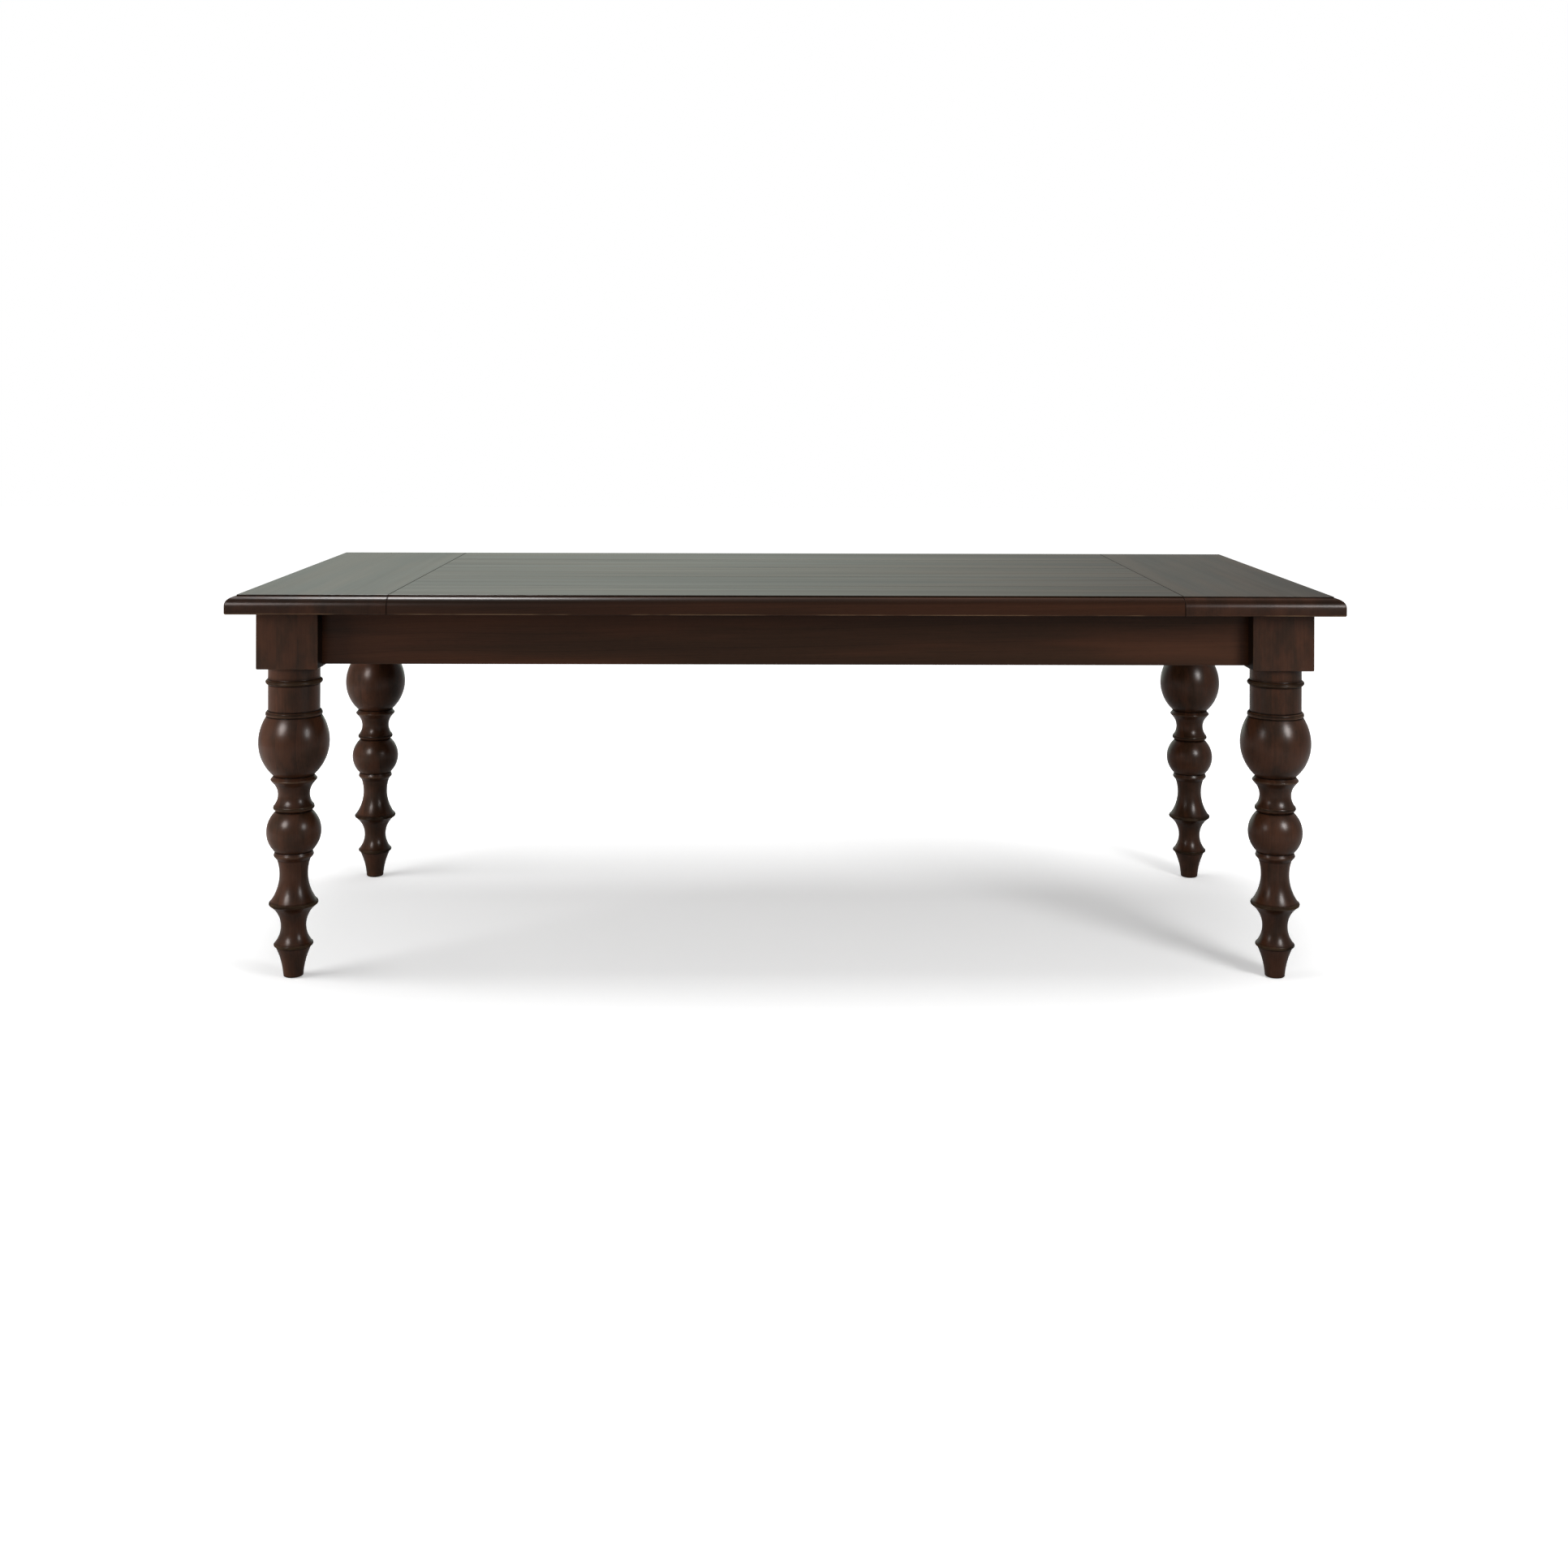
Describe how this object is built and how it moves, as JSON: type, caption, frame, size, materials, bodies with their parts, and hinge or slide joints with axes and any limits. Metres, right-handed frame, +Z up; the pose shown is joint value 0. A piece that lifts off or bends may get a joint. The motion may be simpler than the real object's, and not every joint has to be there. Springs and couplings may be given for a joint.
{
  "type": "dining table",
  "caption": "Long rectangular dining table with wide breadboard ends, a moulded top edge, plain aprons and heavy turned baluster legs in dark-stained wood.",
  "frame": {"origin": "on the floor, under the middle of the table top", "axes": "+X along the table's length, to the right when it is seen from its front; +Y from its front side to its back side; +Z up"},
  "size_m": [2.16, 0.965, 0.762],
  "materials": {
    "top_wood": "espresso stain under satin to semi-gloss lacquer",
    "frame_wood": "espresso stain under satin to semi-gloss lacquer",
    "plain_wood": "planed hardwood under one thin coat of sealer",
    "screw_steel": "yellow zinc plate",
    "zinc_plate": "bright zinc plate",
    "nylon": "moulded, matt brown"
  },
  "bodies": {
    "root": {"top_board_1": "top_wood", "top_board_2": "top_wood", "top_board_3": "top_wood", "top_board_4": "top_wood", "top_board_5": "top_wood", "breadboard_left": "top_wood", "breadboard_pegs_left": "plain_wood", "breadboard_right": "top_wood", "breadboard_pegs_right": "plain_wood", "long_apron_front": "frame_wood", "long_apron_back": "frame_wood", "end_apron_left": "frame_wood", "end_apron_right": "frame_wood", "leg_front_left": "frame_wood", "foot_glide_front_left": "nylon", "corner_block_front_left": "plain_wood", "leg_front_right": "frame_wood", "foot_glide_front_right": "nylon", "corner_block_front_right": "plain_wood", "leg_back_left": "frame_wood", "foot_glide_back_left": "nylon", "corner_block_back_left": "plain_wood", "leg_back_right": "frame_wood", "foot_glide_back_right": "nylon", "corner_block_back_right": "plain_wood", "cross_rail_left": "plain_wood", "cross_rail_middle": "plain_wood", "cross_rail_right": "plain_wood", "top_buttons": "plain_wood", "corner_screws": "screw_steel", "rail_screws": "screw_steel", "button_screws": "screw_steel", "hanger_bolts": "zinc_plate", "bolt_washers": "zinc_plate", "bolt_nuts": "zinc_plate"}
  },
  "joints": []
}
